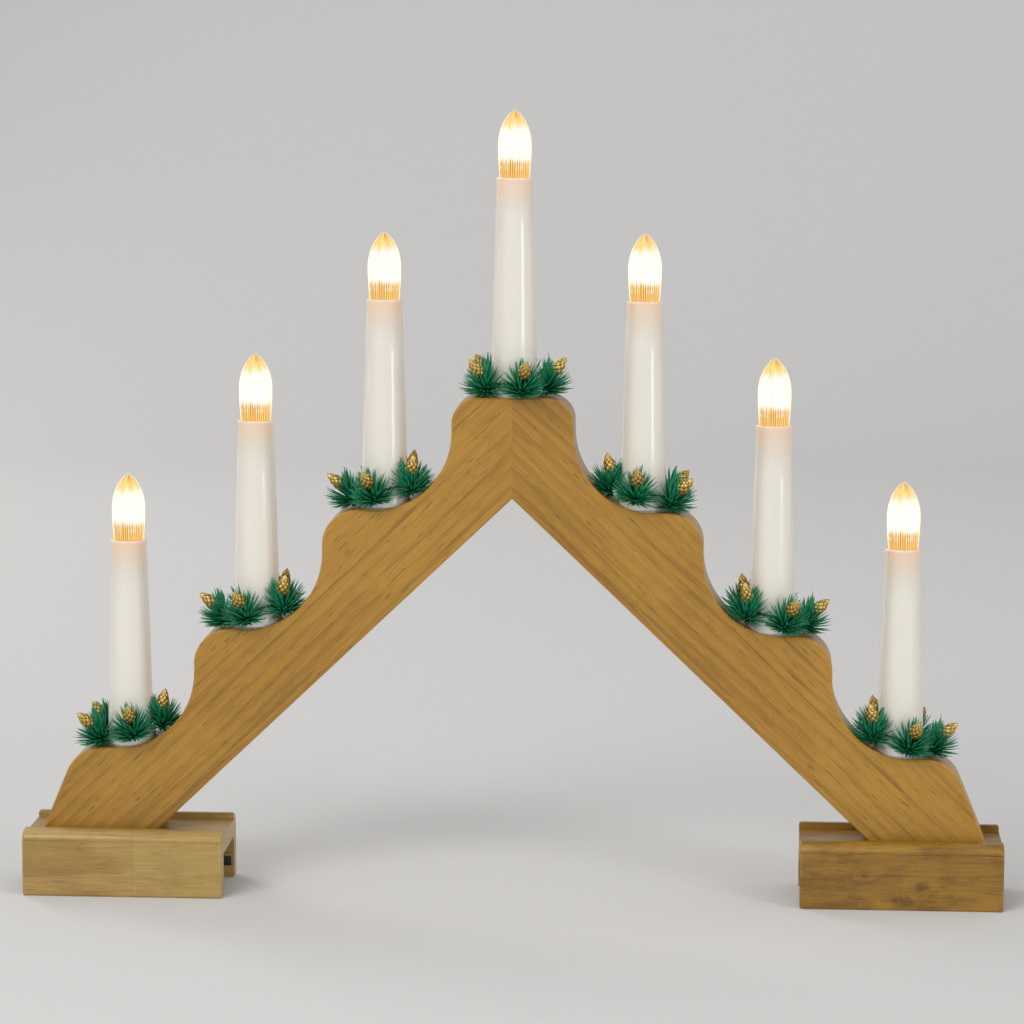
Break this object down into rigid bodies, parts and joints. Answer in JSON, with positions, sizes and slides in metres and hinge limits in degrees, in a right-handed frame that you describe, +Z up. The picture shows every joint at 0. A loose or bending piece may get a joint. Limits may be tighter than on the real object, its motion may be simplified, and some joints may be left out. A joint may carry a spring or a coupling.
{
  "type": "candle arch",
  "caption": "Stepped wooden candle arch with electric lamps on white candle tubes, green sprig wreaths with gold cones, and two moulded feet, one of which holds a battery box.",
  "frame": {"origin": "on the surface it stands on, midway between the feet and in mid thickness of the boards", "axes": "+X along the arch towards its right foot, -Y towards the front, +Z up"},
  "size_m": [0.45, 0.056, 0.3611],
  "materials": {
    "pine": "honey-coloured satin varnish",
    "pale_pine": "pale satin varnish",
    "dark_pine": "darker satin varnish, knotty",
    "dowel_wood": "bare beech",
    "white_plastic": "glossy",
    "candle_plastic": "glossy warm white",
    "holder_plastic": "moulded",
    "lamp_glass": "clear, ribbed",
    "needle_green": "soft moulded",
    "gold": "gold-metallised",
    "black_plastic": "fine-grained",
    "cell_jacket": "foil-wrapped",
    "spring_steel": "nickel-plated",
    "steel": "zinc-plated",
    "lead_sheath": "soft sheath"
  },
  "bodies": {
    "root": {"arch_left_half": "pine", "arch_right_half": "pine", "mitre_dowels": "dowel_wood", "groove_cover_left": "pine", "groove_cover_right": "pine", "left_foot": "pale_pine", "right_foot": "dark_pine", "foot_screws": "steel", "main_lead": "lead_sheath", "candle_leads": "lead_sheath", "switch_lead": "lead_sheath", "battery_box": "black_plastic", "battery_cells": "cell_jacket", "battery_contacts": "spring_steel", "switch_body": "black_plastic", "candle_base_1": "white_plastic", "candle_tube_1": "candle_plastic", "lamp_holder_1": "holder_plastic", "wreath_1": "needle_green", "cones_1": "gold", "candle_base_2": "white_plastic", "candle_tube_2": "candle_plastic", "lamp_holder_2": "holder_plastic", "wreath_2": "needle_green", "cones_2": "gold", "candle_base_3": "white_plastic", "candle_tube_3": "candle_plastic", "lamp_holder_3": "holder_plastic", "wreath_3": "needle_green", "cones_3": "gold", "candle_base_4": "white_plastic", "candle_tube_4": "candle_plastic", "lamp_holder_4": "holder_plastic", "wreath_4": "needle_green", "cones_4": "gold", "candle_base_5": "white_plastic", "candle_tube_5": "candle_plastic", "lamp_holder_5": "holder_plastic", "wreath_5": "needle_green", "cones_5": "gold", "candle_base_6": "white_plastic", "candle_tube_6": "candle_plastic", "lamp_holder_6": "holder_plastic", "wreath_6": "needle_green", "cones_6": "gold", "candle_base_7": "white_plastic", "candle_tube_7": "candle_plastic", "lamp_holder_7": "holder_plastic", "wreath_7": "needle_green", "cones_7": "gold"},
    "battery_lid": {"battery_lid": "black_plastic"},
    "switch_knob": {"switch_knob": "black_plastic"},
    "lamp_1": {"bulb_1": "lamp_glass"},
    "lamp_2": {"bulb_2": "lamp_glass"},
    "lamp_3": {"bulb_3": "lamp_glass"},
    "lamp_4": {"bulb_4": "lamp_glass"},
    "lamp_5": {"bulb_5": "lamp_glass"},
    "lamp_6": {"bulb_6": "lamp_glass"},
    "lamp_7": {"bulb_7": "lamp_glass"}
  },
  "joints": [
    {"name": "lamp_1_turn", "type": "hinge", "parent": "root", "child": "lamp_1", "pos_m": [-0.1779, 0, 0.1632], "axis": [0, 0, 1], "range_deg": [0, 1260]},
    {"name": "lamp_2_turn", "type": "hinge", "parent": "root", "child": "lamp_2", "pos_m": [-0.1186, 0, 0.2192], "axis": [0, 0, 1], "range_deg": [0, 1260]},
    {"name": "lamp_3_turn", "type": "hinge", "parent": "root", "child": "lamp_3", "pos_m": [-0.0593, 0, 0.2752], "axis": [0, 0, 1], "range_deg": [0, 1260]},
    {"name": "lamp_4_turn", "type": "hinge", "parent": "root", "child": "lamp_4", "pos_m": [0, 0, 0.3307], "axis": [0, 0, 1], "range_deg": [0, 1260]},
    {"name": "lamp_5_turn", "type": "hinge", "parent": "root", "child": "lamp_5", "pos_m": [0.0593, 0, 0.2752], "axis": [0, 0, 1], "range_deg": [0, 1260]},
    {"name": "lamp_6_turn", "type": "hinge", "parent": "root", "child": "lamp_6", "pos_m": [0.1186, 0, 0.2192], "axis": [0, 0, 1], "range_deg": [0, 1260]},
    {"name": "lamp_7_turn", "type": "hinge", "parent": "root", "child": "lamp_7", "pos_m": [0.1779, 0, 0.1632], "axis": [0, 0, 1], "range_deg": [0, 1260]},
    {"name": "battery_lid_slide", "type": "slide", "parent": "root", "child": "battery_lid", "axis": [1, 0, 0], "range_m": [0, 0.05]},
    {"name": "switch_slide", "type": "slide", "parent": "root", "child": "switch_knob", "axis": [1, 0, 0], "range_m": [0, 0.003]}
  ]
}
